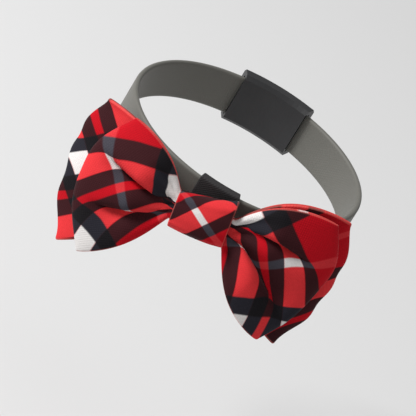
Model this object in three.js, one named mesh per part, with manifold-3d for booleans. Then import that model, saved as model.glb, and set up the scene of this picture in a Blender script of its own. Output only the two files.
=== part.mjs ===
// Pet bow tie collar: a flat collar band closed by a clasp at the nape, and a double bow tie
// of plaid cloth whose waists are gathered by a knot and carried on the band by a keeper loop.
//
// Millimetres. The origin is the centre of the neck ring at half the band's width.
// +Z runs along the neck towards the head, the bow is at -Y and the clasp at +Y.

import * as THREE from 'three';
import Module from 'manifold-3d';
import { mergeVertices } from 'three/addons/utils/BufferGeometryUtils.js';

const wasm = await Module();
wasm.setup();

// ---------------------------------------------------------------- driving dimensions

const NECK_RADIUS = 43;
const BAND_THICKNESS = 2;
const BAND_WIDTH = 16;
const CLEARANCE = 0.3;

const CLOTH_WALL = 1.4;
const WAIST_HALF_HEIGHT = 4.3;
const WAIST_GAP = 0.5;
const LAYER_GAP = 0.5;

const BOW_CENTRE_RADIUS = 54.5;
const BOW_TILT = THREE.MathUtils.degToRad(20);
const BOW_ROLL = THREE.MathUtils.degToRad(4);
const BOW_BEND_RADIUS = 85;
const FAN_START = 10;
const FAN_SOFTNESS = 0.05;
const BULGE_GAIN = 1.15;
const BULGE_RISE = 5;
const BULGE_FALL = 2.5;
const FOLD_ROUNDNESS = 0.5;

const KNOT_INNER_HALF_HEIGHT = 5.5;
const KNOT_INNER_FRONT = 4.1;
const KNOT_INNER_BACK = -5.1;
const KNOT_SQUARENESS = 4;

const KEEPER_WALL = 0.9;
const KEEPER_LENGTH = 14;

const CLASP_LENGTH = 27;
const CLASP_WIDTH = 20;
const CLASP_INNER_RADIUS = 41.4;
const CLASP_OUTER_RADIUS = 48.2;
const CLASP_CHAMFER = 1.4;
const BAND_END_DEPTH = 4;

const LOOP_STEPS = 64;
const HEIGHT_STEPS = 12;
const BAND_STEPS = 64;
const KNOT_STEPS = 32;

// ---------------------------------------------------------------- bow tables
//
// Outer edge of each loop, from its lower to its upper corner: how far out from the knot
// and how far up it stands in the plane of the bow. lowerBulge and upperBulge round out the
// edges between the knot and those corners.

const FRONT_BOW = {
  side: 1,
  puff: 8.5,
  right: {
    edge: [
      { out: 34.9, up: -27.7 },
      { out: 41.5, up: -17.0 },
      { out: 45.3, up: -5.0 },
      { out: 46.8, up: 6.0 },
      { out: 41.6, up: 17.9 },
    ],
    lowerBulge: 6.4,
    upperBulge: 5.8,
  },
  left: {
    edge: [
      { out: 32.3, up: -29.0 },
      { out: 40.6, up: -16.0 },
      { out: 43.1, up: -4.0 },
      { out: 42.2, up: 7.0 },
      { out: 34.6, up: 19.0 },
    ],
    lowerBulge: 5,
    upperBulge: 4,
  },
};

const BACK_BOW = {
  side: -1,
  puff: 6,
  right: {
    edge: [
      { out: 40.4, up: -27.6 },
      { out: 46.6, up: -15.5 },
      { out: 48.8, up: -4.5 },
      { out: 49.4, up: 6.2 },
      { out: 45.6, up: 19.6 },
    ],
    lowerBulge: 4,
    upperBulge: 7,
  },
  left: {
    edge: [
      { out: 40.3, up: -30.2 },
      { out: 46.7, up: -17.0 },
      { out: 49.5, up: -3.0 },
      { out: 49.8, up: 8.0 },
      { out: 46.4, up: 19.4 },
    ],
    lowerBulge: 3,
    upperBulge: 4.8,
  },
};

// Folds that run out of the knot across a loop's face: the height where each leaves the knot
// and where it ends, as a share of the half height, with its share of the puff and its width.

const FOLDS = {
  right: [
    { from: -0.05, to: -0.4, deep: 0.55, wide: 0.13 },
    { from: 0.62, to: 0.28, deep: 0.32, wide: 0.14 },
  ],
  left: [
    { from: 0.1, to: 0.4, deep: 0.55, wide: 0.13 },
    { from: -0.1, to: -0.45, deep: 0.38, wide: 0.14 },
  ],
};

// Outside of the knot, by its distance along the bow: top, bottom, front and back of the wrap.

const KNOT_ROWS = [
  { along: -9.2, top: 6.6, bottom: -6.7, front: 5.5, back: -6.3 },
  { along: -5, top: 7.0, bottom: -7.0, front: 6.3, back: -6.4 },
  { along: 0, top: 7.6, bottom: -7.1, front: 6.6, back: -6.4 },
  { along: 5, top: 8.5, bottom: -7.1, front: 6.4, back: -6.4 },
  { along: 9.2, top: 9.6, bottom: -6.8, front: 5.7, back: -6.3 },
];

// ---------------------------------------------------------------- meshes from grids

// A closed solid from two grids of points, outer and inner, each closed round its rows and
// open at its first and last column: a wall that goes round a hollow open at both ends.
function wallAround(outer, inner) {
  const rings = outer.length;
  const columns = outer[0].length;
  const points = [...outer.flat(), ...inner.flat()];
  const at = (layer, ring, column) =>
    (layer * rings + (ring % rings)) * columns + column;
  const quads = [];
  for (let ring = 0; ring < rings; ring += 1) {
    for (let column = 0; column < columns - 1; column += 1) {
      quads.push([
        at(0, ring, column), at(0, ring + 1, column),
        at(0, ring + 1, column + 1), at(0, ring, column + 1),
      ]);
      quads.push([
        at(1, ring, column + 1), at(1, ring + 1, column + 1),
        at(1, ring + 1, column), at(1, ring, column),
      ]);
    }
    const last = columns - 1;
    quads.push([at(0, ring + 1, 0), at(0, ring, 0), at(1, ring, 0), at(1, ring + 1, 0)]);
    quads.push([
      at(0, ring, last), at(0, ring + 1, last),
      at(1, ring + 1, last), at(1, ring, last),
    ]);
  }
  return solidOf(points, quads);
}

// A closed solid bar: one closed section carried through the stations, with both ends capped.
function barThrough(sections) {
  const stations = sections.length;
  const corners = sections[0].length;
  const points = sections.flat();
  const at = (station, corner) => station * corners + (corner % corners);
  const quads = [];
  for (let station = 0; station < stations - 1; station += 1) {
    for (let corner = 0; corner < corners; corner += 1) {
      quads.push([
        at(station, corner), at(station, corner + 1),
        at(station + 1, corner + 1), at(station + 1, corner),
      ]);
    }
  }
  const lastStation = stations - 1;
  for (let corner = 1; corner < corners - 1; corner += 1) {
    quads.push([at(0, 0), at(0, corner + 1), at(0, corner)]);
    quads.push([at(lastStation, 0), at(lastStation, corner), at(lastStation, corner + 1)]);
  }
  return solidOf(points, quads);
}

// Triangulates the faces and turns them outwards.
function solidOf(points, faces) {
  const triangles = faces.flatMap((face) =>
    face.slice(2).map((corner, i) => [face[0], face[i + 1], corner]));
  const volume = triangles.reduce((sum, [a, b, c]) =>
    sum + points[a].dot(new THREE.Vector3().crossVectors(points[b], points[c])), 0);
  const outward = volume > 0 ? triangles : triangles.map(([a, b, c]) => [a, c, b]);
  const geometry = new THREE.BufferGeometry();
  const coordinates = points.flatMap((point) => point.toArray());
  geometry.setAttribute('position', new THREE.Float32BufferAttribute(coordinates, 3));
  geometry.setIndex(outward.flat());
  geometry.computeVertexNormals();
  return geometry;
}

function toManifold(geometry) {
  const bare = geometry.clone();
  bare.deleteAttribute('normal');
  const merged = mergeVertices(bare);
  return new wasm.Manifold(new wasm.Mesh({
    numProp: 3,
    vertProperties: new Float32Array(merged.attributes.position.array),
    triVerts: new Uint32Array(merged.index.array),
  }));
}

function fromManifold(manifold) {
  const { vertProperties, triVerts } = manifold.getMesh();
  const geometry = new THREE.BufferGeometry();
  geometry.setAttribute('position', new THREE.Float32BufferAttribute(vertProperties, 3));
  geometry.setIndex([...triVerts]);
  geometry.computeVertexNormals();
  return geometry;
}

// ---------------------------------------------------------------- shared shapes

const lerp = THREE.MathUtils.lerp;
const smoothstep = THREE.MathUtils.smoothstep;

function span(count, from, to) {
  return Array.from({ length: count + 1 }, (_, i) => lerp(from, to, i / count));
}

// The point at an angle round the neck, a radius and a height. Angle 0 is the front, at -Y.
function roundNeck(angle, radius, height) {
  return new THREE.Vector3(radius * Math.sin(angle), -radius * Math.cos(angle), height);
}

function rectangle(innerRadius, outerRadius, halfWidth, chamfer) {
  const r0 = innerRadius;
  const r1 = outerRadius;
  const w = halfWidth;
  const c = chamfer;
  return [
    [r0, c - w], [r0 + c, -w], [r1 - c, -w], [r1, c - w],
    [r1, w - c], [r1 - c, w], [r0 + c, w], [r0, w - c],
  ];
}

function sectionAt(angle, profile) {
  return profile.map(([radius, height]) => roundNeck(angle, radius, height));
}

// ---------------------------------------------------------------- collar band

const BAND_OUTER_RADIUS = NECK_RADIUS + BAND_THICKNESS;
const BAND_MID_RADIUS = NECK_RADIUS + BAND_THICKNESS / 2;
const BAND_EDGE_CHAMFER = 0.4;
const claspHalfAngle = CLASP_LENGTH / 2 / BAND_MID_RADIUS;
const bandEndAngle = Math.PI - claspHalfAngle + BAND_END_DEPTH / BAND_MID_RADIUS;

function collarBand() {
  const profile = rectangle(
    NECK_RADIUS, BAND_OUTER_RADIUS, BAND_WIDTH / 2, BAND_EDGE_CHAMFER);
  return barThrough(
    span(BAND_STEPS, -bandEndAngle, bandEndAngle).map((angle) => sectionAt(angle, profile)));
}

// ---------------------------------------------------------------- clasp

const CLASP_STEPS = 12;
const POCKET_STEPS = 6;
const POCKET_OVERRUN = 0.06;

// A rounded block across the nape, with a pocket in each end for the band's end.
function clasp() {
  const profile = rectangle(
    CLASP_INNER_RADIUS, CLASP_OUTER_RADIUS, CLASP_WIDTH / 2, CLASP_CHAMFER);
  const body = span(CLASP_STEPS, Math.PI - claspHalfAngle, Math.PI + claspHalfAngle)
    .map((angle) => sectionAt(angle, profile));
  const pocket = rectangle(
    NECK_RADIUS - CLEARANCE, BAND_OUTER_RADIUS + CLEARANCE, BAND_WIDTH / 2 + CLEARANCE, 0);
  const corners = pocket.filter((_, i) => i % 2 === 0);
  const deepest = bandEndAngle + CLEARANCE / BAND_MID_RADIUS;
  const mouth = Math.PI - claspHalfAngle - POCKET_OVERRUN;
  const pockets = [1, -1].map((side) =>
    span(POCKET_STEPS, side * mouth, side * deepest)
      .map((angle) => sectionAt(angle, corners)));
  const cut = pockets.reduce(
    (solid, sections) => solid.subtract(toManifold(barThrough(sections))),
    toManifold(barThrough(body)));
  return fromManifold(cut);
}

// ---------------------------------------------------------------- band keeper

const KEEPER_STEPS = 6;

// A flat loop of tape at the front of the ring, which the band passes through.
function bandKeeper() {
  const outside = rectangle(
    NECK_RADIUS - CLEARANCE - KEEPER_WALL,
    BAND_OUTER_RADIUS + CLEARANCE + KEEPER_WALL,
    BAND_WIDTH / 2 + CLEARANCE + KEEPER_WALL,
    KEEPER_WALL / 2);
  const inside = rectangle(
    NECK_RADIUS - CLEARANCE,
    BAND_OUTER_RADIUS + CLEARANCE,
    BAND_WIDTH / 2 + CLEARANCE,
    KEEPER_WALL / 8);
  const halfAngle = KEEPER_LENGTH / 2 / BAND_MID_RADIUS;
  const angles = span(KEEPER_STEPS, -halfAngle, halfAngle);
  const walls = [outside, inside].map((profile) =>
    profile.map(([radius, height]) =>
      angles.map((angle) => roundNeck(angle, radius, height))));
  return wallAround(...walls);
}

// ---------------------------------------------------------------- bow

// Height where a fold lies at a share of the way out along the loop.
function foldAt(fold, outward) {
  return lerp(fold.from, fold.to, outward);
}

// Share of the puff that the folds leave at a place on the loop's face.
function foldedShare(folds, outward, height) {
  const reach = smoothstep(outward, 0, 0.2) * (1 - smoothstep(outward, 0.75, 1));
  const taken = folds.reduce((sum, fold) => {
    const off = (height - foldAt(fold, outward)) / fold.wide;
    return sum + fold.deep * Math.exp(-off * off);
  }, 0);
  return 1 - reach * Math.min(taken, 0.7);
}

// The middle of the cloth wall, in the plane of the bow: x along it, y up it, z outwards.
// turn goes once round the bow, from the right end over the front to the left end and back
// behind; height goes from the lower edge (-1) to the upper edge (1).
function clothMiddle(bow, edges, turn, height) {
  const right = Math.cos(turn) >= 0;
  const loop = right ? bow.right : bow.left;
  const edge = (right ? edges.right : edges.left).getPoint((height + 1) / 2);
  const face = Math.sign(Math.sin(turn)) * Math.abs(Math.sin(turn)) ** FOLD_ROUNDNESS;
  const along = edge.x * Math.abs(Math.cos(turn));
  const fanned = Math.max(0, (along - FAN_START) / (edge.x - FAN_START));
  const outward = (1 + FAN_SOFTNESS) * fanned * fanned / (fanned + FAN_SOFTNESS);
  const bulge = height > 0 ? loop.upperBulge * height : loop.lowerBulge * height;
  const up = lerp(WAIST_HALF_HEIGHT * height, edge.y, outward)
    + bulge * BULGE_GAIN * (1 - (1 - outward) ** BULGE_RISE) * (1 - outward ** BULGE_FALL);
  const crown = 0.45 + 0.55 * Math.cos(height * Math.PI / 2);
  const swell = smoothstep(outward, 0, 0.55) * crown;
  const folds = right ? FOLDS.right : FOLDS.left;
  const creased = bow.side > 0 && face > 0 ? foldedShare(folds, outward, height) : 1;
  const depth = CLOTH_WALL + WAIST_GAP + bow.puff * swell * lerp(1, creased, Math.max(0, face));
  const off = CLOTH_WALL / 2 + LAYER_GAP / 2 + depth * (1 + bow.side * face) / 2;
  const bend = -along * along / (2 * BOW_BEND_RADIUS);
  return new THREE.Vector3(right ? along : -along, up, bend + bow.side * off);
}

// Both faces of the cloth, half a wall either side of its middle.
function bowWall(bow) {
  const edges = Object.fromEntries(['right', 'left'].map((name) => [
    name,
    new THREE.SplineCurve(bow[name].edge.map(({ out, up }) => new THREE.Vector2(out, up))),
  ]));
  const turns = span(LOOP_STEPS, 0, 2 * Math.PI).slice(0, -1);
  const heights = span(HEIGHT_STEPS, -1, 1);
  const small = 1e-3;
  const middle = (turn, height) => clothMiddle(bow, edges, turn, height);
  const facesAt = (turn, height) => {
    const here = middle(turn, height);
    const round = middle(turn + small, height).sub(middle(turn - small, height));
    const lower = Math.max(-1, height - small);
    const upper = Math.min(1, height + small);
    const rise = middle(turn, upper).sub(middle(turn, lower));
    const normal = round.cross(rise).normalize().multiplyScalar(CLOTH_WALL / 2);
    return [here.clone().add(normal), here.clone().sub(normal)];
  };
  const grid = turns.map((turn) => heights.map((height) => facesAt(turn, height)));
  const layer = (index) => grid.map((row) => row.map((faces) => faces[index]));
  return wallAround(layer(0), layer(1));
}

// ---------------------------------------------------------------- knot

// A point on a rounded rectangle whose four sides stand at their own distances.
function wrapPoint(turn, row) {
  const rounded = (value) => Math.sign(value) * Math.abs(value) ** (2 / KNOT_SQUARENESS);
  const c = rounded(Math.cos(turn));
  const s = rounded(Math.sin(turn));
  return new THREE.Vector3(
    row.along,
    s > 0 ? s * row.top : -s * row.bottom,
    c > 0 ? c * row.front : -c * row.back);
}

function knotWrap() {
  const turns = span(KNOT_STEPS, 0, 2 * Math.PI).slice(0, -1);
  const innerRow = ({ along }) => ({
    along,
    top: KNOT_INNER_HALF_HEIGHT,
    bottom: -KNOT_INNER_HALF_HEIGHT,
    front: KNOT_INNER_FRONT,
    back: KNOT_INNER_BACK,
  });
  const outer = turns.map((turn) => KNOT_ROWS.map((row) => wrapPoint(turn, row)));
  const inner = turns.map((turn) => KNOT_ROWS.map((row) => wrapPoint(turn, innerRow(row))));
  return wallAround(outer, inner);
}

// ---------------------------------------------------------------- assembly

const PLAID = new THREE.MeshStandardMaterial({ color: 0xb4121f, roughness: 0.85 });
const PLAID_BEHIND = new THREE.MeshStandardMaterial({ color: 0x7d1420, roughness: 0.85 });
const KNOT_PLAID = new THREE.MeshStandardMaterial({ color: 0xd0363c, roughness: 0.85 });
const WEBBING = new THREE.MeshStandardMaterial({ color: 0x66655e, roughness: 0.8 });
const TAPE = new THREE.MeshStandardMaterial({ color: 0x2b2a2a, roughness: 0.9 });
const PLASTIC = new THREE.MeshStandardMaterial({ color: 0x1c1c1d, roughness: 0.45 });

function piece(name, geometry, material) {
  const mesh = new THREE.Mesh(geometry, material);
  mesh.name = name;
  return mesh;
}

const collar = new THREE.Group();
collar.add(
  piece('collar_band', collarBand(), WEBBING),
  piece('clasp', clasp(), PLASTIC),
  piece('band_keeper', bandKeeper(), TAPE));

// The bow's own frame: x along it, y up it, z out from the neck.
const bowTie = new THREE.Group();
bowTie.position.set(0, -BOW_CENTRE_RADIUS, 0);
bowTie.rotation.set(Math.PI / 2 - BOW_TILT, 0, BOW_ROLL);
bowTie.add(
  piece('back_bow', bowWall(BACK_BOW), PLAID_BEHIND),
  piece('front_bow', bowWall(FRONT_BOW), PLAID),
  piece('knot', knotWrap(), KNOT_PLAID));

const petBowTieCollar = new THREE.Group();
petBowTieCollar.add(collar, bowTie);

export default petBowTieCollar;
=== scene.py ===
"""Pet bow tie collar: the looks of a flat neck band and of a double plaid bow tie, in metres.

+Z runs along the neck towards the head, the bow is at -Y and the clasp at +Y.
"""

import logging
import math
from collections.abc import Callable, Sequence
from dataclasses import dataclass
from enum import Enum

import bmesh
import bpy
import numpy as np
from mathutils import Matrix, Vector


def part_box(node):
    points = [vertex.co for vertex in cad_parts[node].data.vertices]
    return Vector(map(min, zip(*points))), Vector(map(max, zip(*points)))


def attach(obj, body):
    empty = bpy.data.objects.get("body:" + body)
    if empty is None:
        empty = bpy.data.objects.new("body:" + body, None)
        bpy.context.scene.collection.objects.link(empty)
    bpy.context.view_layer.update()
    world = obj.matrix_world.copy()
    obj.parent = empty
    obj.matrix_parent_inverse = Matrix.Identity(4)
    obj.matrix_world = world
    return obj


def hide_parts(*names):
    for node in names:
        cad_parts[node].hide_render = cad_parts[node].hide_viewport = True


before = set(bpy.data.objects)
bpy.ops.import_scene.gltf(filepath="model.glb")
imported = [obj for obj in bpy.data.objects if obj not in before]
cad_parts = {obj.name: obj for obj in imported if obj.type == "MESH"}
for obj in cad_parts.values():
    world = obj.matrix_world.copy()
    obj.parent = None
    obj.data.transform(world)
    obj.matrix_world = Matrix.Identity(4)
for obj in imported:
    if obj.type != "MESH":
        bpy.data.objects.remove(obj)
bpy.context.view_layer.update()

LOG = logging.getLogger("bow_tie_collar")
MM = 0.001
BODY = "root"
BAND_THICKNESS = 2.0 * MM
BAND_END_DEPTH = 4.0 * MM

Points = np.ndarray
Colour = tuple[float, float, float]


class Side(Enum):
    """The two loops of a bow, by the sign of X."""

    RIGHT = 1
    LEFT = -1


class Layer(Enum):
    """The two layers of the bow, by the way that each faces from their shared plane."""

    FRONT = 1
    BACK = -1


# ---------------------------------------------------------------- arrays and meshes


def smoothstep(value: Points, low: float, high: float) -> Points:
    """A smooth rise from 0 at low to 1 at high.

    Args:
        value: Where it is read.
        low: The value where the rise starts.
        high: The value where it ends.

    Returns:
        3s^2 - 2s^3 of the share s of the way from low to high.
    """
    share = np.clip((value - low) / (high - low), 0.0, 1.0)
    return share * share * (3.0 - 2.0 * share)


def catmull_rom(rows: Points, share: Points) -> Points:
    """A smooth curve through evenly spaced rows.

    Args:
        rows: The points, one row each.
        share: Where along the curve, from 0 to 1.

    Returns:
        The uniform Catmull-Rom spline through the rows, with its end rows doubled.
    """
    last = len(rows) - 1
    place = np.clip(share, 0.0, 1.0) * last
    step = np.minimum(place.astype(int), last - 1)
    s = (place - step)[..., None]
    before, here = rows[np.maximum(step - 1, 0)], rows[step]
    after, beyond = rows[step + 1], rows[np.minimum(step + 2, last)]
    return 0.5 * (
        2 * here
        + (after - before) * s
        + (2 * before - 5 * here + 4 * after - beyond) * s**2
        + (3 * here - before - 3 * after + beyond) * s**3
    )


def unit(vectors: Points) -> Points:
    """The vectors, each divided by its own length."""
    return vectors / np.maximum(np.linalg.norm(vectors, axis=-1, keepdims=True), 1e-12)


def signed_power(value: Points, power: float) -> Points:
    """Each value's size raised to a power, with its own sign kept."""
    return np.sign(value) * np.abs(value) ** power


def round_grid(turn_steps: int, stations: Points) -> tuple[Points, Points]:
    """A grid of angles once round by the stations along.

    Args:
        turn_steps: How many angles there are in the round.
        stations: The values along.

    Returns:
        The angles and the stations, each over the whole grid.
    """
    turns = np.arange(turn_steps) / turn_steps * 2 * math.pi
    turn, station = np.meshgrid(turns, stations, indexing="ij")
    return turn, station


def add_to_scene(name: str, data: bpy.types.ID) -> bpy.types.Object:
    """Makes an object of that data and links it.

    Args:
        name: The object's name.
        data: Its mesh, light or camera.

    Returns:
        The object.
    """
    thing = bpy.data.objects.new(name, data)
    bpy.context.scene.collection.objects.link(thing)
    return thing


def dress_cloth(
    piece: bpy.types.Object,
    material: bpy.types.Material,
    node: str,
) -> None:
    """Args:
        piece: The piece.
        material: Its material.
        node: The node that it stands for.
    """
    piece.data.materials.append(material)
    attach(piece, BODY)
    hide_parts(node)


def grid_mesh(
    name: str, points: Points, uv: Points, rim: Points, closed: tuple[bool, bool]
) -> bpy.types.Object:
    """Makes a smooth mesh from a grid of points.

    Args:
        name: The piece's name.
        points: The grid, rows by columns by 3.
        uv: The cloth's own coordinates, rows by columns by 2.
        rim: 1 on the turned edges and 0 elsewhere, rows by columns.
        closed: Whether the rows, and whether the columns, come back to their start.

    Returns:
        The linked object, its place in its mesh.
    """
    rows, columns = points.shape[:2]
    row = np.arange(rows if closed[0] else rows - 1)[:, None]
    column = np.arange(columns if closed[1] else columns - 1)[None, :]
    next_row, next_column = (row + 1) % rows, (column + 1) % columns
    quads = np.stack(
        [
            row * columns + column,
            next_row * columns + column,
            next_row * columns + next_column,
            row * columns + next_column,
        ],
        axis=-1,
    ).reshape(-1, 4)
    flat = points.reshape(-1, 3)
    mesh = bpy.data.meshes.new(name)
    mesh.from_pydata(flat, [], quads.tolist())
    layer = mesh.uv_layers.new(name="cloth")
    layer.data.foreach_set("uv", uv.reshape(-1, 2)[quads.ravel()].astype(np.float32).ravel())
    edge = mesh.attributes.new("rim", "FLOAT", "POINT")
    edge.data.foreach_set("value", rim.astype(np.float32).ravel())
    mesh.polygons.foreach_set("use_smooth", np.ones(len(quads), bool))
    corners = flat[quads]
    across = np.cross(corners[:, 2] - corners[:, 0], corners[:, 3] - corners[:, 1])
    if float((corners.mean(axis=1) * across).sum()) < 0:
        mesh.flip_normals()
    mesh.update()
    return add_to_scene(name, mesh)


def wall_section(
    middle: Points, uv: Points, half_wall: Points, rim_steps: int, closed: bool
) -> tuple[Points, Points, Points]:
    """Wraps a sheet in its two faces and two round rims.

    Each row of the sheet becomes a closed section: its points pushed half a wall one way
    along the surface normal, a half circle round the last point, the same points pushed the
    other way in reverse, and a half circle round the first point.

    Args:
        middle: The middle of the sheet, rows by columns by 3.
        uv: Its cloth coordinates.
        half_wall: Half the thickness, a number or one for each grid point.
        rim_steps: Points on each round rim.
        closed: Whether the rows come back to their start.

    Returns:
        The closed sections' points, their cloth coordinates, and 1 for each that is on a rim.
    """
    wide = np.concatenate([middle[-1:], middle, middle[:1]]) if closed else middle
    along = np.gradient(wide, axis=0)[1:-1] if closed else np.gradient(wide, axis=0)
    up = np.gradient(middle, axis=1)
    normal = unit(np.cross(along, up))
    offset = normal * np.broadcast_to(half_wall, middle.shape[:2])[..., None]
    reach = np.linalg.norm(offset, axis=-1)[..., None]
    turn = (np.arange(1, rim_steps + 1) / (rim_steps + 1) * math.pi)[None, :, None]

    def rim(column: int, way: float) -> Points:
        """The half circle round one edge of the sheet, from one face to the other.

        Args:
            column: The edge's column, first or last.
            way: 1 from the outer face to the inner one, -1 back.

        Returns:
            The half circle's points, from a cosine along the wall and a sine outwards.
        """
        out = unit(up[:, column]) * way * reach[:, column]
        start = offset[:, column] * way
        centre = middle[:, column][:, None]
        return centre + start[:, None] * np.cos(turn) + out[:, None] * np.sin(turn)

    sections = np.concatenate(
        [middle + offset, rim(-1, 1.0), (middle - offset)[:, ::-1], rim(0, -1.0)], axis=1
    )
    edge_uv = [np.repeat(uv[:, column][:, None], rim_steps, axis=1) for column in (-1, 0)]
    face, round_edge = np.zeros(uv.shape[:2]), np.ones((len(uv), rim_steps))
    mask = np.concatenate([face, round_edge, face, round_edge], axis=1)
    return sections, np.concatenate([uv, edge_uv[0], uv[:, ::-1], edge_uv[1]], axis=1), mask


def waves(u: Points, v: Points, seed: int, count: int, fineness: float) -> Points:
    """Soft irregular waves over a surface.

    Args:
        u: The first coordinate.
        v: The second coordinate.
        seed: Picks the waves.
        count: How many are added up.
        fineness: Their typical frequency.

    Returns:
        The mean of that many sines, each with a direction, frequency and phase of its own.
    """
    pick = np.random.default_rng(seed)
    total = np.zeros(np.broadcast(u, v).shape)
    for _ in range(count):
        heading = pick.uniform(0, math.pi)
        frequency = fineness * pick.uniform(0.6, 1.6)
        phase = pick.uniform(0, 2 * math.pi)
        total += np.sin(frequency * (u * math.cos(heading) + v * math.sin(heading)) + phase)
    return total / count


# ---------------------------------------------------------------- shader building


def new_group(
    name: str, inputs: Sequence[tuple[str, str, object]], outputs: Sequence[tuple[str, str]]
) -> tuple[bpy.types.NodeTree, bpy.types.Node, bpy.types.Node]:
    """Makes an empty shader node group.

    Args:
        name: The group's name.
        inputs: Name, socket type and default of each input.
        outputs: Name and socket type of each output.

    Returns:
        The tree, its input node and its output node.
    """
    tree = bpy.data.node_groups.new(name, "ShaderNodeTree")
    for label, kind, default in inputs:
        socket = tree.interface.new_socket(label, in_out="INPUT", socket_type=kind)
        if default is not None:
            socket.default_value = default
    for label, kind in outputs:
        tree.interface.new_socket(label, in_out="OUTPUT", socket_type=kind)
    return tree, tree.nodes.new("NodeGroupInput"), tree.nodes.new("NodeGroupOutput")


def connect(tree: bpy.types.NodeTree, value: object, socket: bpy.types.NodeSocket) -> None:
    """Links a socket to another, or sets a plain value on it.

    Args:
        tree: The tree that gets the link.
        value: A socket or a plain value.
        socket: The input that takes it.
    """
    if isinstance(value, bpy.types.NodeSocket):
        tree.links.new(value, socket)
    else:
        socket.default_value = value


def maths(tree: bpy.types.NodeTree, operation: str, *values: object) -> bpy.types.NodeSocket:
    """Adds a Math node with these values or links and returns its output.

    Args:
        tree: The tree that gets the node.
        operation: The Math node's operation.
        values: Its inputs in order, each a number or a socket.

    Returns:
        The node's output.
    """
    node = tree.nodes.new("ShaderNodeMath")
    node.operation = operation
    for value, socket in zip(values, node.inputs):
        connect(tree, value, socket)
    return node.outputs[0]


def blend(
    tree: bpy.types.NodeTree, share: object, first: object, second: object, mode: str = "MIX"
) -> bpy.types.NodeSocket:
    """Mixes two colours.

    Args:
        tree: The tree that gets the node.
        share: How much of the second colour shows.
        first: A colour or a link.
        second: A colour or a link.
        mode: The Mix node's blend type.

    Returns:
        The mixed colour's socket.
    """
    node = tree.nodes.new("ShaderNodeMix")
    node.data_type = "RGBA"
    node.blend_type = mode
    connect(tree, share, node.inputs[0])
    connect(tree, first, node.inputs[6])
    connect(tree, second, node.inputs[7])
    return node.outputs[2]


def noise(
    tree: bpy.types.NodeTree, place: bpy.types.NodeSocket, scale: float, detail: float = 2.0
) -> bpy.types.NodeSocket:
    """Adds a Noise Texture over that place and returns its value, about 0.5 on average.

    Args:
        tree: The tree that gets the node.
        place: Where the noise is read.
        scale: Its scale.
        detail: How many finer layers it has.

    Returns:
        The noise's value.
    """
    node = tree.nodes.new("ShaderNodeTexNoise")
    node.inputs["Scale"].default_value = scale
    node.inputs["Detail"].default_value = detail
    tree.links.new(place, node.inputs["Vector"])
    return node.outputs["Fac"]


def srgb(red: int, green: int, blue: int) -> Colour:
    """The linear colour of an 8-bit sRGB one.

    Args:
        red: Its red, 0 to 255.
        green: Its green.
        blue: Its blue.

    Returns:
        The linear red, green and blue, 0 to 1.
    """
    share = np.array([red, green, blue]) / 255.0
    linear = np.where(share <= 0.04045, share / 12.92, ((share + 0.055) / 1.055) ** 2.4)
    return tuple(float(x) for x in linear)


def plain_weave_group() -> bpy.types.NodeTree:
    """The over and under of a plain weave.

    Returns:
        A group whose Height is the product of a sine across and a sine along the threads, a
        little uneven from thread to thread, and whose Shade darkens the gaps between them.
    """
    tree, start, end = new_group(
        "plain_weave",
        [("Vector", "NodeSocketVector", None), ("Pitch", "NodeSocketFloat", 0.0004)],
        [("Height", "NodeSocketFloat"), ("Shade", "NodeSocketFloat")],
    )
    split = tree.nodes.new("ShaderNodeSeparateXYZ")
    tree.links.new(start.outputs["Vector"], split.inputs[0])
    turns = maths(tree, "DIVIDE", math.pi, start.outputs["Pitch"])
    across = maths(tree, "SINE", maths(tree, "MULTIPLY", split.outputs[0], turns))
    along = maths(tree, "SINE", maths(tree, "MULTIPLY", split.outputs[1], turns))
    crossing = maths(tree, "MULTIPLY", across, along)
    uneven = noise(tree, start.outputs["Vector"], 900.0, 1.0)
    height = maths(tree, "MULTIPLY", crossing, maths(tree, "ADD", uneven, 0.5))
    tree.links.new(height, end.inputs["Height"])
    gap = maths(tree, "MULTIPLY", maths(tree, "ABSOLUTE", crossing), 0.16)
    tree.links.new(maths(tree, "ADD", gap, 0.90), end.inputs["Shade"])
    return tree


def uneven_dye_group() -> bpy.types.NodeTree:
    """Slow and fine changes of a cloth's depth of colour, as a factor near 1.

    Returns:
        A group whose Factor is 1 plus a slow and a fine noise less their mean, by the Amount.
    """
    tree, start, end = new_group(
        "uneven_dye",
        [("Vector", "NodeSocketVector", None), ("Amount", "NodeSocketFloat", 0.12)],
        [("Factor", "NodeSocketFloat")],
    )
    slow = noise(tree, start.outputs["Vector"], 60.0)
    fine = noise(tree, start.outputs["Vector"], 1600.0, 3.0)
    both = maths(tree, "ADD", slow, fine)
    swing = maths(tree, "MULTIPLY", maths(tree, "SUBTRACT", both, 1.0), start.outputs["Amount"])
    tree.links.new(maths(tree, "ADD", swing, 1.0), end.inputs["Factor"])
    return tree


@dataclass(frozen=True)
class CheckSett:
    """The widths of the check's bands, in metres, out from the middle of a thin line."""

    thin_line: float = 2.2 * MM
    red: float = 11.0 * MM
    dark: float = 4.35 * MM
    pale: float = 6.1 * MM
    thin_red: float = 2.4 * MM

    @property
    def half_repeat(self) -> float:
        """From the middle of the thin line to the middle of the thin red band."""
        return self.thin_line / 2 + self.red + 2 * self.dark + self.pale + self.thin_red / 2

    def edges(self) -> tuple[float, ...]:
        """The shares of the half repeat where one band gives way to the next."""
        steps = [self.thin_line / 2, self.red, self.dark, self.pale, self.dark]
        return tuple(float(x) for x in np.cumsum(steps) / self.half_repeat)

    def middles(self) -> tuple[float, ...]:
        """How far the bands' middles are from the thin line's, in mm: line to thin red.

        Returns:
            The place of each band in BAND_ORDER, half way between its edges.
        """
        edges = np.array(self.edges())
        inner = (edges[1:] + edges[:-1]) / 2
        return tuple(float(x) for x in np.array([0.0, *inner, 1.0]) * self.half_repeat / MM)


SETT = CheckSett()
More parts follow.
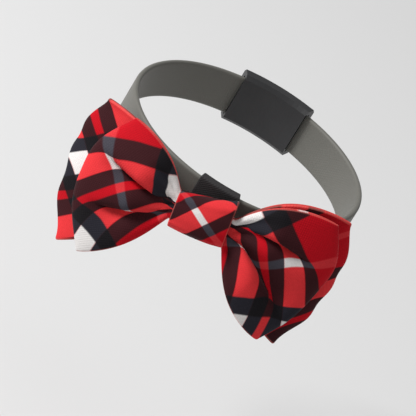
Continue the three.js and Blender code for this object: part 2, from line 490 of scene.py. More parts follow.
# The bands' places across the repeat, in mm; past the thin red band they come in mirror order.
LINE, RED, DARK_1, PALE_1, DARK_2, THIN_RED = SETT.middles()
DARK_3, PALE_2, DARK_4 = (2 * THIN_RED - near for near in (DARK_2, PALE_1, DARK_1))


class Yarn(Enum):
    """The check's four kinds of band, with the colour of each over each."""

    RED = ("red", (srgb(180, 0, 20), srgb(52, 14, 19), srgb(212, 48, 52), srgb(200, 44, 50)))
    DARK = ("dark", (srgb(52, 14, 19), srgb(17, 14, 18), srgb(34, 33, 41), srgb(62, 60, 68)))
    PALE = ("pale", (srgb(212, 48, 52), srgb(34, 33, 41), srgb(218, 214, 212), srgb(218, 214, 212)))
    LINE = ("line", (srgb(200, 44, 50), srgb(62, 60, 68), srgb(218, 214, 212), srgb(218, 214, 212)))


BAND_ORDER = (Yarn.LINE, Yarn.RED, Yarn.DARK, Yarn.PALE, Yarn.DARK, Yarn.RED)
YARN_ORDER = (Yarn.RED, Yarn.DARK, Yarn.PALE, Yarn.LINE)
BAND_SOFTNESS = 0.006


def band_ramp(
    tree: bpy.types.NodeTree, place: bpy.types.NodeSocket, sett: CheckSett, colours: list[Colour]
) -> bpy.types.NodeSocket:
    """Colours the bands of the check across one set of threads.

    Args:
        tree: The tree that gets the ramp.
        place: The share of the half repeat.
        sett: The widths of the bands.
        colours: A colour for each kind of band, in YARN_ORDER.

    Returns:
        The ramp's colour.
    """
    node = tree.nodes.new("ShaderNodeValToRGB")
    ramp = node.color_ramp
    ramp.interpolation = "LINEAR"
    shades = [colours[YARN_ORDER.index(band)] for band in BAND_ORDER]
    stops = [(0.0, shades[0])]
    for edge, before, after in zip(sett.edges(), shades, shades[1:]):
        stops += [(edge - BAND_SOFTNESS, before), (edge + BAND_SOFTNESS, after)]
    stops.append((1.0, shades[-1]))
    while len(ramp.elements) < len(stops):
        ramp.elements.new(0.5)
    for element, (position, colour) in zip(ramp.elements, stops):
        element.position = position
        element.color = (*colour, 1.0)
    tree.links.new(place, node.inputs[0])
    return node.outputs[0]


def check_group(sett: CheckSett) -> bpy.types.NodeTree:
    """The woven check's colour over the cloth's own coordinates.

    Both coordinates are folded into half a repeat. Four ramps across the warp give the
    colours over a red, dark, pale and thin weft band, and the weft's masks choose among them.

    Args:
        sett: The widths of the bands.

    Returns:
        A group that puts out the check's Colour.
    """
    tree, start, end = new_group(
        "check",
        [("Vector", "NodeSocketVector", None), ("Waver", "NodeSocketFloat", 0.0002)],
        [("Color", "NodeSocketColor")],
    )
    split = tree.nodes.new("ShaderNodeSeparateXYZ")
    tree.links.new(start.outputs["Vector"], split.inputs[0])
    sway = maths(tree, "SUBTRACT", noise(tree, start.outputs["Vector"], 260.0, 3.0), 0.5)
    shift = maths(tree, "MULTIPLY", sway, start.outputs["Waver"])
    places = []
    for thread in split.outputs[:2]:
        folded = maths(tree, "PINGPONG", maths(tree, "ADD", thread, shift), sett.half_repeat)
        places.append(maths(tree, "DIVIDE", folded, sett.half_repeat))
    masks = band_ramp(tree, places[1], sett, [(0, 0, 0), (1, 0, 0), (0, 1, 0), (0, 0, 1)])
    chosen = tree.nodes.new("ShaderNodeSeparateColor")
    tree.links.new(masks, chosen.inputs[0])
    rows = [band_ramp(tree, places[0], sett, list(yarn.value[1])) for yarn in YARN_ORDER]
    colour = rows[0]
    for mask, row in zip(chosen.outputs, rows[1:]):
        colour = blend(tree, mask, colour, row)
    tree.links.new(colour, end.inputs["Color"])
    return tree


class Groups:
    """The node groups that the finishes share, each made once."""

    def __init__(self) -> None:
        """Makes every group."""
        self.weave = plain_weave_group()
        self.dye = uneven_dye_group()
        self.check = check_group(SETT)

    def place(
        self, material: bpy.types.Material, group: bpy.types.NodeTree, values: dict[str, object]
    ) -> bpy.types.Node:
        """Puts a group into a material.

        Args:
            material: The material that gets it.
            group: The group.
            values: What each named input is given.

        Returns:
            The group node.
        """
        node = material.node_tree.nodes.new("ShaderNodeGroup")
        node.node_tree = group
        for label, value in values.items():
            connect(material.node_tree, value, node.inputs[label])
        return node

    def woven(
        self,
        material: bpy.types.Material,
        pitch: float,
        dyed: bpy.types.NodeSocket,
        amount: float,
    ) -> tuple[bpy.types.NodeSocket, bpy.types.NodeSocket]:
        """Weaves and dyes a cloth.

        Args:
            material: The cloth's material.
            pitch: From thread to thread, in metres.
            dyed: The place that the dye goes by.
            amount: How uneven the dye is.

        Returns:
            The height of the threads, and the shade of the threads and dye together.
        """
        values = {"Vector": cloth_place(material), "Pitch": pitch}
        weave = self.place(material, self.weave, values)
        dye = self.place(material, self.dye, {"Vector": dyed, "Amount": amount})
        tree = material.node_tree
        shade = maths(tree, "MULTIPLY", weave.outputs["Shade"], dye.outputs["Factor"])
        return weave.outputs["Height"], shade


def blank_material(name: str) -> tuple[bpy.types.Material, bpy.types.Node]:
    """A new node material and its Principled shader.

    Args:
        name: The material's name.

    Returns:
        The material and its shader node.
    """
    material = bpy.data.materials.new(name)
    material.use_nodes = True
    return material, material.node_tree.nodes["Principled BSDF"]


def cloth_place(material: bpy.types.Material) -> bpy.types.NodeSocket:
    """The cloth's own coordinates.

    Args:
        material: The material that reads them.

    Returns:
        The output of a UV Map node.
    """
    node = material.node_tree.nodes.new("ShaderNodeUVMap")
    node.uv_map = "cloth"
    return node.outputs[0]


def body_place(material: bpy.types.Material) -> bpy.types.NodeSocket:
    """The place in the row's frame."""
    return material.node_tree.nodes.new("ShaderNodeTexCoord").outputs["Object"]


def add_bump(
    material: bpy.types.Material, height: bpy.types.NodeSocket, strength: float, depth: float
) -> None:
    """Feeds a height into the material's normal.

    Args:
        material: The material.
        height: The height, about 1 from low to high.
        strength: The Bump node's strength.
        depth: How deep the relief is, in metres.
    """
    tree = material.node_tree
    node = tree.nodes.new("ShaderNodeBump")
    node.inputs["Strength"].default_value = strength
    node.inputs["Distance"].default_value = depth
    tree.links.new(height, node.inputs["Height"])
    tree.links.new(node.outputs[0], tree.nodes["Principled BSDF"].inputs["Normal"])


@dataclass(frozen=True)
class PlaidCloth:
    """Matt woven cotton with a red, black and white check, and a painted highlight along its turned
    edges.
    """

    thread_pitch: float = 0.36 * MM
    relief: float = 0.07 * MM
    roughness: float = 0.82
    # painted highlight: how far the cloth's rounded rims are lightened, and the pale pink they go
    # towards, stand in for light caught on the turned edges
    painted_edge_highlight: float = 0.3
    painted_highlight_colour: Colour = srgb(240, 120, 110)
    dye_change: float = 0.22
    specular: float = 0.15
    sheen: float = 0.03
    sheen_roughness: float = 0.45

    def material(self, groups: Groups) -> bpy.types.Material:
        """Builds the finish from the check, weave and dye groups.

        Args:
            groups: The shared node groups.

        Returns:
            The material.
        """
        material, shader = blank_material("plaid_cloth")
        tree = material.node_tree
        check = groups.place(material, groups.check, {"Vector": cloth_place(material)})
        place = body_place(material)
        height, shade = groups.woven(material, self.thread_pitch, place, self.dye_change)
        # painted highlight: the rim mask lightens the check towards pale pink on the turned edges, in
        # place of light caught on the folds
        rim = tree.nodes.new("ShaderNodeAttribute")
        rim.attribute_name = "rim"
        painted_highlight_share = maths(tree, "MULTIPLY", rim.outputs["Fac"], self.painted_edge_highlight)
        highlighted_check = blend(tree, painted_highlight_share, check.outputs[0], (*self.painted_highlight_colour, 1.0))
        colour = blend(tree, 1.0, highlighted_check, shade, "MULTIPLY")
        tree.links.new(colour, shader.inputs["Base Color"])
        shader.inputs["Roughness"].default_value = self.roughness
        shader.inputs["Specular IOR Level"].default_value = self.specular
        shader.inputs["Sheen Weight"].default_value = self.sheen
        shader.inputs["Sheen Roughness"].default_value = self.sheen_roughness
        add_bump(material, height, 0.5, self.relief)
        return material


@dataclass(frozen=True)
class Webbing:
    """Smooth flat webbing: fine ribs across, paler along both edges."""

    colour: Colour = srgb(96, 95, 89)
    # a paler colour painted along both edges of the band
    edge_colour: Colour = srgb(138, 134, 128)
    rib_pitch: float = 0.9 * MM
    thread_pitch: float = 0.45 * MM
    half_width: float = 8.0 * MM
    edge_width: float = 0.9 * MM
    relief: float = 0.04 * MM
    dye_change: float = 0.1
    roughness: float = 0.62
    sheen: float = 0.1

    def material(self, groups: Groups) -> bpy.types.Material:
        """Builds the finish, with ribs along and a mask for the two edges.

        Args:
            groups: The shared node groups.

        Returns:
            The material.
        """
        material, shader = blank_material("band_webbing")
        tree = material.node_tree
        split = tree.nodes.new("ShaderNodeSeparateXYZ")
        tree.links.new(cloth_place(material), split.inputs[0])
        place = body_place(material)
        threads, shade = groups.woven(material, self.thread_pitch, place, self.dye_change)
        off_middle = maths(tree, "ABSOLUTE", split.outputs[1])
        from_edge = maths(tree, "SUBTRACT", self.half_width, off_middle)
        edge = maths(tree, "LESS_THAN", from_edge, self.edge_width)
        colour = blend(tree, edge, (*self.colour, 1.0), (*self.edge_colour, 1.0))
        worn = blend(tree, 1.0, colour, shade, "MULTIPLY")
        tree.links.new(worn, shader.inputs["Base Color"])
        shader.inputs["Roughness"].default_value = self.roughness
        shader.inputs["Sheen Weight"].default_value = self.sheen
        turns = maths(tree, "MULTIPLY", split.outputs[0], 2 * math.pi / self.rib_pitch)
        ribs = maths(tree, "MULTIPLY", maths(tree, "SINE", turns), 0.5)
        add_bump(material, maths(tree, "ADD", ribs, threads), 0.5, self.relief)
        return material


@dataclass(frozen=True)
class Tape:
    """Dark plain-woven tape."""

    colour: Colour = srgb(38, 36, 37)
    thread_pitch: float = 0.5 * MM
    relief: float = 0.12 * MM
    dye_change: float = 0.2
    roughness: float = 0.8

    def material(self, groups: Groups) -> bpy.types.Material:
        """Builds the finish from the weave and dye groups.

        Args:
            groups: The shared node groups.

        Returns:
            The material.
        """
        material, shader = blank_material("keeper_tape")
        tree = material.node_tree
        place = cloth_place(material)
        height, shade = groups.woven(material, self.thread_pitch, place, self.dye_change)
        colour = blend(tree, 1.0, (*self.colour, 1.0), shade, "MULTIPLY")
        tree.links.new(colour, shader.inputs["Base Color"])
        shader.inputs["Roughness"].default_value = self.roughness
        add_bump(material, height, 0.5, self.relief)
        return material


@dataclass(frozen=True)
class MouldedPlastic:
    """Black moulded plastic with a fine grain."""

    colour: Colour = srgb(31, 31, 33)
    dye_change: float = 0.15
    grain_depth: float = 0.05 * MM

    def material(self, groups: Groups) -> bpy.types.Material:
        """Builds the finish, its grain and its slightly uneven gloss.

        Args:
            groups: The shared node groups.

        Returns:
            The material.
        """
        material, shader = blank_material("clasp_plastic")
        tree = material.node_tree
        body = body_place(material)
        dye = groups.place(material, groups.dye, {"Vector": body, "Amount": self.dye_change})
        colour = blend(tree, 1.0, (*self.colour, 1.0), dye.outputs["Factor"], "MULTIPLY")
        tree.links.new(colour, shader.inputs["Base Color"])
        grain = noise(tree, body, 2600.0, 2.0)
        gloss = maths(tree, "ADD", maths(tree, "MULTIPLY", noise(tree, body, 90.0), 0.2), 0.34)
        tree.links.new(gloss, shader.inputs["Roughness"])
        add_bump(material, grain, 0.35, self.grain_depth)
        return material


# ---------------------------------------------------------------- the bow's frame


@dataclass(frozen=True)
class BowFrame:
    """Where the bow stands: x along it, y up it and z out from the neck."""

    band_radius: float
    stand_off: float = 9.5 * MM
    tilt: float = math.radians(20)
    roll: float = math.radians(4)

    def to_row(self, points: Points) -> Points:
        """Turns and moves points of the bow's frame into the row's frame.

        Args:
            points: The points, in metres.

        Returns:
            The points rolled about z, leant about x and moved to the bow's centre.
        """
        lean = Matrix.Rotation(math.pi / 2 - self.tilt, 3, "X")
        matrix = np.array(lean @ Matrix.Rotation(self.roll, 3, "Z"))
        centre = np.array([0.0, -(self.band_radius + self.stand_off), 0.0])
        return points @ matrix.T + centre


# ---------------------------------------------------------------- bow layers


@dataclass(frozen=True)
class EdgePoint:
    """A point of a loop's outer edge, out from the knot and up in the bow's plane, in mm."""

    out: float
    up: float


@dataclass(frozen=True)
class Fold:
    """A fold that runs out of the knot across a loop.

    start and end are its heights at the knot and at the outer edge, as shares of the half
    height. deep is a share of the puff, wide is a share of the half height, and reach is how
    far out it goes. The puff above it hangs over it, by over mm, when hangs is 1, and the one
    below it when hangs is -1.
    """

    start: float
    end: float
    deep: float
    wide: float
    reach: float
    hangs: int = 1
    over: float = 1.5

    def line(self, outward: Points) -> Points:
        """The fold's height at each share of the way out."""
        return self.start + (self.end - self.start) * outward

    def across(self, outward: Points, height: Points) -> Points:
        """How many widths a place is from the line, positive on the hanging side."""
        return (height - self.line(outward)) / self.wide * self.hangs

    def depth(self, outward: Points, height: Points) -> Points:
        """The share of the puff that it takes away.

        Args:
            outward: The share of the way from the knot to the outer edge.
            height: The height, from -1 to 1.

        Returns:
            A bell across the line, steep below the puff that hangs over and easy on the
            other side, that fades in past the knot and out at its reach.
        """
        off = self.across(outward, height)
        slope = np.where(off > 0, 2.6, 0.62)
        fade = smoothstep(outward, 0.0, 0.1)
        fade = fade * (1 - smoothstep(outward, self.reach - 0.4, self.reach))
        return self.deep * fade * np.exp(-((off * slope) ** 2))

    def lap(self, outward: Points, height: Points) -> Points:
        """How far the puff that hangs over is drawn across the line, in mm.

        Args:
            outward: The share of the way from the knot to the outer edge.
            height: The height, from -1 to 1.

        Returns:
            A bell on the hanging side of the line, signed as the height is.
        """
        off = self.across(outward, height)
        fade = smoothstep(outward, 0.05, 0.2)
        fade = fade * (1 - smoothstep(outward, self.reach - 0.5, self.reach))
        return -self.hangs * self.over * fade * np.exp(-(((off - 0.45) / 0.4) ** 2))


@dataclass(frozen=True)
class Mark:
    """A place on a loop where a band of the check runs, or where two of them cross.

    out is in mm along the bow, to the half millimetre, and height is a share of the half
    height, to a twentieth. warp and weft name the bands there, None for one that is free.
    """

    out: float
    height: float
    warp: float | None
    weft: float | None


@dataclass(frozen=True)
class Loop:
    """One loop of a bow layer: its outer edge, bulges, folds and the lay of its check."""

    edge: tuple[EdgePoint, ...]
    lower_bulge: float
    upper_bulge: float
    folds: tuple[Fold, ...]
    marks: tuple[Mark, ...]
    size: float = 40.0
    stiffness: float = 0.05
    slope_hold: float = 1e-4
    fold_pull: float = 0.1

    def terms(self, out: Points, up: Points, height: Points, outward: Points) -> Points:
        """Args:
            out: Places along the bow, in mm.
            up: Their heights in the bow's plane, in mm.
            height: Their heights as shares of the half height.
            outward: Their shares of the way from the knot to the outer edge.

        Returns:
            The powers of out and up to the third, and for each fold a step across its line
            that dies away outwards, because the cloth goes down into it by the knot.
        """
        x, y = out / self.size, up / self.size
        powers = [x**0, x, y, x * x, x * y, y * y, x**3, x * x * y, x * y * y, y**3]
        steps = [
            (1 - outward) * np.tanh((height - fold.line(outward)) / self.fold_pull)
            for fold in self.folds
        ]
        return np.stack(powers + steps, axis=-1)

    def lay(self, terms_at: Callable[[Points, Points], Points]) -> Points:
        """Args:
            terms_at: Gives the terms at places by their out and height.

        Returns:
            The weight of each term in warp and in weft, by least squares over the marks,
            with the curved terms held down by the cloth's stiffness.
        """
        out = np.array([mark.out for mark in self.marks])
        height = np.array([mark.height for mark in self.marks])
        terms = terms_at(out, height)
        hold = np.full(terms.shape[1], self.stiffness)
        hold[:3] = self.slope_hold
        weights = []
        for values in ([m.warp for m in self.marks], [m.weft for m in self.marks]):
            known = np.array([value is not None for value in values])
            right = np.array([value for value in values if value is not None], dtype=float)
            rows = terms[known]
            weights.append(np.linalg.solve(rows.T @ rows + np.diag(hold), rows.T @ right))
        return np.stack(weights, axis=-1)


@dataclass
class BowLayer:
    """One layer of the bow: a strip of cloth whose two loops are pinched at the waist."""

    name: str
    layer: Layer
    loops: dict[Side, Loop]
    puff: float
    seed: int
    flat: tuple[float, float]
    ruffle: float = 0.0
    wall: float = 1.3
    waist_half_height: float = 4.3
    waist_gap: float = 0.5
    layer_gap: float = 0.6
    bend_radius: float = 85.0
    fan_start: float = 10.0
    fan_softness: float = 0.05
    fold_roundness: float = 0.5
    bulge_gain: float = 1.15
    bulge_rise: float = 5
    bulge_fall: float = 2.5
    rim_crown: float = 0.4
    gathers: float = 13.0
    gather_depth: float = 0.45
    wrinkle: float = 0.55
    warp_run: float = -0.55
    weft_run: float = -0.3
    turn_steps: int = 420
    height_steps: int = 84
    rim_steps: int = 5

    def edge_at(self, loop: Loop, height: Points) -> Points:
        """Where the loop's outer edge is at a height: out and up, in mm."""
        rows = np.array([[point.out, point.up] for point in loop.edge])
        return catmull_rom(rows, (height + 1) / 2)

    def spread(self, loop: Loop, out: Points, height: Points) -> tuple[Points, Points]:
        """How the loop fans out in the bow's plane.

        Args:
            loop: The loop.
            out: Places along the bow, in mm.
            height: Their heights, as shares of the half height.

        Returns:
            Their heights in mm, on straight lines from the waist to the edge plus a bulge
            that is fullest near the knot, and their shares of the way out.
        """
        edge = self.edge_at(loop, height)
        fanned = np.maximum(0.0, (out - self.fan_start) / (edge[..., 0] - self.fan_start))
        outward = (1 + self.fan_softness) * fanned**2 / (fanned + self.fan_softness)
        bulge = np.where(height > 0, loop.upper_bulge, loop.lower_bulge) * height
        inside = np.minimum(outward, 1.0)
        rise, fall = 1 - (1 - inside) ** self.bulge_rise, 1 - inside**self.bulge_fall
        shoulder = self.bulge_gain * rise * fall
        up = self.waist_half_height * height * (1 - outward) + edge[..., 1] * outward
        return up + bulge * shoulder, outward

    def check_at(
        self, loop: Loop, out: Points, height: Points, beyond: Points
    ) -> Points:
        """The check's coordinates on a loop.

        Args:
            loop: The loop.
            out: Places along the bow, in mm.
            height: Their heights, as shares of the half height.
            beyond: How far past the outer fold they lie on the hidden face, in mm.

        Returns:
            The lay through the loop's marks, carried straight on past the outer fold, in
            metres.
        """

        def terms_at(at_out: Points, at_height: Points) -> Points:
            """The lay's terms at places by their out and height."""
            up, outward = self.spread(loop, at_out, at_height)
            return loop.terms(at_out, up, at_height, outward)

        weights = loop.lay(terms_at)
        edge = self.edge_at(loop, height)[..., 0]
        shown = np.where(beyond > 0, edge, out)
        run = beyond[..., None] * np.array([self.warp_run, self.weft_run])
        return (terms_at(shown, height) @ weights + run) * MM

    def middle(self, turn: Points, height: Points) -> tuple[Points, Points]:
        """The middle of the cloth.

        The turn goes once round the layer: cos(turn) is the share of the way out to each end
        and sin(turn) is its front or its back. The depth between the two is a crown that
        swells from the knot, less the folds, plus gathers at the knot and soft wrinkles, and
        all of it bends back as a parabola round the neck. The outer edge may be ruffled.

        Args:
            turn: The angle round the layer.
            height: The height, from -1 at the lower edge to 1 at the upper edge.

        Returns:
            The points in the bow's frame in mm, and the cloth coordinates in metres.
        """
        points = np.zeros((*turn.shape, 3))
        uv = np.zeros((*turn.shape, 2))
        facing = signed_power(np.sin(turn), self.fold_roundness)
        way = self.layer.value
        for side, loop in self.loops.items():
            edge = self.edge_at(loop, height)[..., 0]
            out = edge * np.abs(np.cos(turn))
            up, outward = self.spread(loop, out, height)
            crown = self.rim_crown + (1 - self.rim_crown) * np.cos(height * math.pi / 2)
            swell = smoothstep(outward, 0.0, 0.45) * crown
            taken = sum((fold.depth(outward, height) for fold in loop.folds), 0.0 * out)
            lapped = sum((fold.lap(outward, height) for fold in loop.folds), 0.0 * out)
            shown = np.maximum(0.0, facing * way)
            up = up + lapped * shown
            depth = self.wall + self.waist_gap
            depth = depth + self.puff * swell * (1 - shown * np.minimum(taken, 0.9))
            near_knot = smoothstep(outward, 0.0, 0.06) * (1 - smoothstep(outward, 0.1, 0.55))
            lean = 3.0 * waves(height, outward, self.seed, 3, 2.0)
            pleats = np.cos(height * self.gathers + lean)
            soft = waves(out / 9.0, up / 9.0, self.seed + side.value, 7, 1.0)
            ripple = self.gather_depth * near_knot * pleats + self.wrinkle * soft * swell
            off = self.wall / 2 + self.layer_gap / 2 + depth * (1 + way * facing) / 2
            off = off + np.where(facing * way > 0, ripple * np.abs(facing), 0.0)
            curl = self.ruffle * outward**4 * np.sin(height * 11.0 + 1.0)
            sway = self.ruffle * outward**4 * np.cos(height * 9.0 + 2.0)
            bend = -(out**2) / (2 * self.bend_radius)
            here = np.cos(turn) * side.value >= 0
            place = np.stack(
                [side.value * (out + 0.5 * curl), up, bend + way * off + sway], axis=-1
            )
            points = np.where(here[..., None], place, points)
            beyond = np.where(facing < 0, edge - out, 0.0)
            uv = np.where(here[..., None], self.check_at(loop, out, height, beyond), uv)
        return points, uv

    def build(self, bow: BowFrame) -> bpy.types.Object:
        """Builds the layer's closed cloth wall.

        Args:
            bow: Where the bow stands.

        Returns:
            The layer's piece.
        """
        turn, height = round_grid(self.turn_steps, np.linspace(-1.0, 1.0, self.height_steps))
        points, uv = self.middle(turn, height)
        sections, section_uv, rim = wall_section(points, uv, self.wall / 2, self.rim_steps, True)
        return grid_mesh(f"{self.name}_cloth", bow.to_row(sections * MM), section_uv, rim, (True, True))

    def dress(self, piece: bpy.types.Object, material: bpy.types.Material) -> None:
        dress_cloth(piece, material, self.name)


def front_bow() -> BowLayer:
    """Returns:
        The layer.
    """
    right = Loop(
        edge=(
            EdgePoint(34.9, -27.7),
            EdgePoint(41.5, -17.0),
            EdgePoint(45.3, -5.0),
            EdgePoint(46.8, 6.0),
            EdgePoint(41.6, 17.9),
        ),
        lower_bulge=6.4,
        upper_bulge=5.8,
        folds=(
            Fold(start=-0.1, end=-0.6, deep=0.92, wide=0.22, reach=1.1, hangs=-1),
            Fold(start=0.6, end=0.25, deep=0.65, wide=0.16, reach=0.9),
        ),
        marks=(
            Mark(14.5, 1.0, PALE_1, PALE_1),
            Mark(34.5, 0.2, LINE, PALE_1),
            Mark(38.5, 0.3, LINE, DARK_1),
            Mark(43.5, 0.45, LINE, RED),
            Mark(29.5, 0.05, LINE, DARK_2),
            Mark(25.5, -0.05, LINE, THIN_RED),
            Mark(13.5, -0.6, -RED / 2, None),
            Mark(17.5, -0.45, -RED / 2, None),
            Mark(22.0, -0.4, -RED, None),
            Mark(19.0, 0.9, DARK_1, DARK_1),
            Mark(24.0, 0.7, None, DARK_1),
            Mark(37.0, 0.45, None, DARK_1),
            Mark(43.0, 0.1, None, DARK_1),
            Mark(19.5, 0.6, DARK_1, PALE_1),
            Mark(40.0, -0.3, None, PALE_1),
            Mark(26.5, 0.3, None, DARK_2),
            Mark(36.5, -0.4, None, DARK_2),
            Mark(21.0, 0.2, None, THIN_RED),
            Mark(34.5, -0.8, -PALE_1, THIN_RED),
            Mark(18.5, 0.1, None, DARK_3),
            Mark(29.5, -0.5, None, DARK_3),
            Mark(22.5, -0.45, None, PALE_2),
            Mark(23.5, -0.9, -DARK_1, PALE_2),
            Mark(18.0, -0.55, None, DARK_4),
        ),
    )
    left = Loop(
        edge=(
            EdgePoint(32.3, -29.0),
            EdgePoint(40.6, -16.0),
            EdgePoint(43.1, -4.0),
            EdgePoint(42.2, 7.0),
            EdgePoint(34.6, 19.0),
        ),
        lower_bulge=5.0,
        upper_bulge=4.0,
        folds=(
            Fold(start=0.12, end=0.42, deep=0.85, wide=0.18, reach=1.0),
            Fold(start=-0.35, end=-0.43, deep=0.7, wide=0.17, reach=0.9),
        ),
        marks=(
            Mark(13.0, 0.75, PALE_1, PALE_1),
            Mark(19.0, 0.8, DARK_1, DARK_1),
            Mark(28.0, 0.95, RED, None),
            Mark(35.5, 0.3, LINE, PALE_1),
            Mark(39.0, 0.45, LINE, DARK_1),
            Mark(31.5, 0.1, LINE, DARK_2),
            Mark(29.0, -0.05, LINE, THIN_RED),
            Mark(26.0, -0.2, LINE, DARK_3),
            Mark(18.0, 0.55, DARK_1, PALE_1),
            Mark(33.5, 0.55, None, DARK_1),
            Mark(24.0, 0.25, None, DARK_2),
            Mark(14.5, 0.15, None, DARK_2),
            Mark(41.5, -0.25, None, DARK_2),
            Mark(38.0, -0.45, None, THIN_RED),
            Mark(19.0, -0.1, None, DARK_3),
            Mark(31.5, -0.35, None, DARK_3),
            Mark(16.5, -0.3, None, PALE_2),
            Mark(24.0, -0.4, None, PALE_2),
            Mark(31.5, -0.85, -PALE_1, PALE_2),
            Mark(29.5, -0.75, -DARK_1, PALE_2),
            Mark(20.5, -0.6, None, DARK_4),
        ),
    )
    return BowLayer(
        name="front_bow",
        layer=Layer.FRONT,
        loops={Side.RIGHT: right, Side.LEFT: left},
        puff=8.5,
        seed=11,
        flat=(0.046, 0.182),
    )


def back_bow() -> BowLayer:
    """The larger back layer, whose edges show round the front one.

    Returns:
        The layer.
    """
    right = Loop(
        edge=(
            EdgePoint(40.4, -27.6),
            EdgePoint(46.6, -15.5),
            EdgePoint(48.8, -4.5),
            EdgePoint(49.4, 6.2),
            EdgePoint(45.6, 19.6),
        ),
        lower_bulge=4.0,
        upper_bulge=7.0,
        folds=(),
        marks=(
            Mark(47.0, 0.75, LINE, DARK_1),
            Mark(48.5, 0.45, -DARK_1, RED),
            Mark(48.0, 0.05, -PALE_1, RED),
            Mark(47.0, -0.3, -DARK_2, RED),
            Mark(44.0, -0.6, -THIN_RED, RED),
            Mark(41.5, -0.8, -DARK_3, RED),
            Mark(38.5, 0.95, RED, RED),
            Mark(32.5, 0.95, DARK_1, RED),
            Mark(18.5, 1.0, DARK_2, RED),
        ),
    )
    left = Loop(
        edge=(
            EdgePoint(40.3, -30.2),
            EdgePoint(46.7, -17.0),
            EdgePoint(49.5, -3.0),
            EdgePoint(49.8, 8.0),
            EdgePoint(46.4, 19.4),
        ),
        lower_bulge=3.0,
        upper_bulge=4.8,
        folds=(),
        marks=(
            Mark(46.0, -0.05, PALE_1, PALE_1),
            Mark(47.5, 0.15, DARK_1, PALE_1),
            Mark(45.5, -0.5, THIN_RED, None),
            Mark(40.5, -0.85, PALE_2, RED),
            Mark(44.0, 0.75, None, DARK_3),
            Mark(44.5, 0.55, None, THIN_RED),
            Mark(47.0, 0.35, None, DARK_2),
            Mark(40.0, 1.0, RED, PALE_2),
        ),
    )
    return BowLayer(
        name="back_bow",
        layer=Layer.BACK,
        loops={Side.RIGHT: right, Side.LEFT: left},
        puff=6.0,
        seed=23,
        flat=(0.046, 0.198),
        ruffle=0.9,
    )


# ---------------------------------------------------------------- knot


@dataclass(frozen=True)
class WrapRow:
    """One section of the knot: its place along the bow and how far each side stands, in mm."""

    along: float
    top: float
    bottom: float
    front: float
    back: float


@dataclass(frozen=True)
class Lay:
    """A straight lay of the check: its warp and weft at the middle, in mm, and how far they
    go by for each mm out and each mm up."""

    warp: float
    warp_out: float
    warp_up: float
    weft: float
    weft_out: float
    weft_up: float

    def coordinates(self, out: Points, up: Points) -> Points:
        """The cloth's own coordinates of flattened places, in metres.

        Args:
            out: How far out, in mm.
            up: How far up, in mm.

        Returns:
            The warp and weft, each a plane over out and up.
        """
        warp = self.warp + self.warp_out * out + self.warp_up * up
        weft = self.weft + self.weft_out * out + self.weft_up * up
        return np.stack([warp, weft], axis=-1) * MM


@dataclass
class Knot:
    """The band of cloth wrapped round both waists."""

    rows: tuple[WrapRow, ...] = (
        WrapRow(-9.4, 6.4, -6.5, 5.6, -6.2),
        WrapRow(-5.0, 6.9, -6.9, 6.5, -6.4),
        WrapRow(0.0, 7.6, -7.1, 6.9, -6.4),
        WrapRow(5.0, 8.6, -7.1, 6.7, -6.4),
        WrapRow(9.4, 9.8, -6.7, 5.8, -6.2),
    )
    squareness: float = 3.4
    wall: float = 1.1
    turn_steps: int = 220
    along_steps: int = 60
    rim_steps: int = 5
    pucker: float = 0.22
    creases: float = 9.0
    seed: int = 5
    roll: float = math.radians(6)
    flat: tuple[float, float] = (0.019, 0.05)
    lay: Lay = Lay(-0.5, 0.57, 0.82, 18.35, -0.73, 0.68)

    def middle(self, turn: Points, along: Points) -> tuple[Points, Points]:
        """The middle of the wrap: a rounded rectangle whose four sides follow the rows.

        Args:
            turn: The angle round the wrap, from its front over its top.
            along: The share of the way along, from 0 to 1.

        Returns:
            The points in the bow's frame in mm, and the cloth coordinates in metres.
        """
        table = [[r.along, r.top, r.bottom, r.front, r.back] for r in self.rows]
        sizes = catmull_rom(np.array(table), along)
        power = 2 / self.squareness
        upward = signed_power(np.sin(turn), power)
        forward = signed_power(np.cos(turn), power)
        up = np.where(upward > 0, upward * sizes[..., 1], -upward * sizes[..., 2])
        out = np.where(forward > 0, forward * sizes[..., 3], -forward * sizes[..., 4])
        wander = 2.0 * waves(turn, along, self.seed, 3, 1.5)
        crease = np.cos(turn * self.creases + wander) * self.pucker
        ends = 1 - 0.6 * np.sin(along * math.pi)
        out = out - self.wall / 2 * np.sign(forward) + crease * ends * np.abs(forward)
        up = up - self.wall / 2 * np.sign(upward) * np.abs(upward)
        points = np.stack([sizes[..., 0], up, out], axis=-1)
        step = np.linalg.norm(np.diff(points, axis=0, append=points[:1]), axis=-1)
        run = np.cumsum(step, axis=0) - step
        run = np.where(run > run[-1:] / 2, run - run[-1:] - step[-1:], run)
        return points, self.lay.coordinates(sizes[..., 0], run)

    def build(self, bow: BowFrame) -> bpy.types.Object:
        """Builds the wrap's closed wall.

        Args:
            bow: Where the bow stands.

        Returns:
            The knot's piece.
        """
        turn, along = round_grid(self.turn_steps, np.linspace(0.0, 1.0, self.along_steps))
        points, uv = self.middle(turn, along)
        sections, section_uv, rim = wall_section(points, uv, self.wall / 2, self.rim_steps, True)
        sections = sections @ np.array(Matrix.Rotation(self.roll, 3, "Z")).T
        return grid_mesh("knot_cloth", bow.to_row(sections * MM), section_uv, rim, (True, True))

    def dress(self, piece: bpy.types.Object, material: bpy.types.Material) -> None:
        dress_cloth(piece, material, "knot")


# ---------------------------------------------------------------- collar band and its fittings


def ring_points(angle: Points, radius: Points, height: Points) -> Points:
    """Points round the neck; angle 0 is the front, at -Y."""
    return np.stack([radius * np.sin(angle), -radius * np.cos(angle), height], axis=-1)


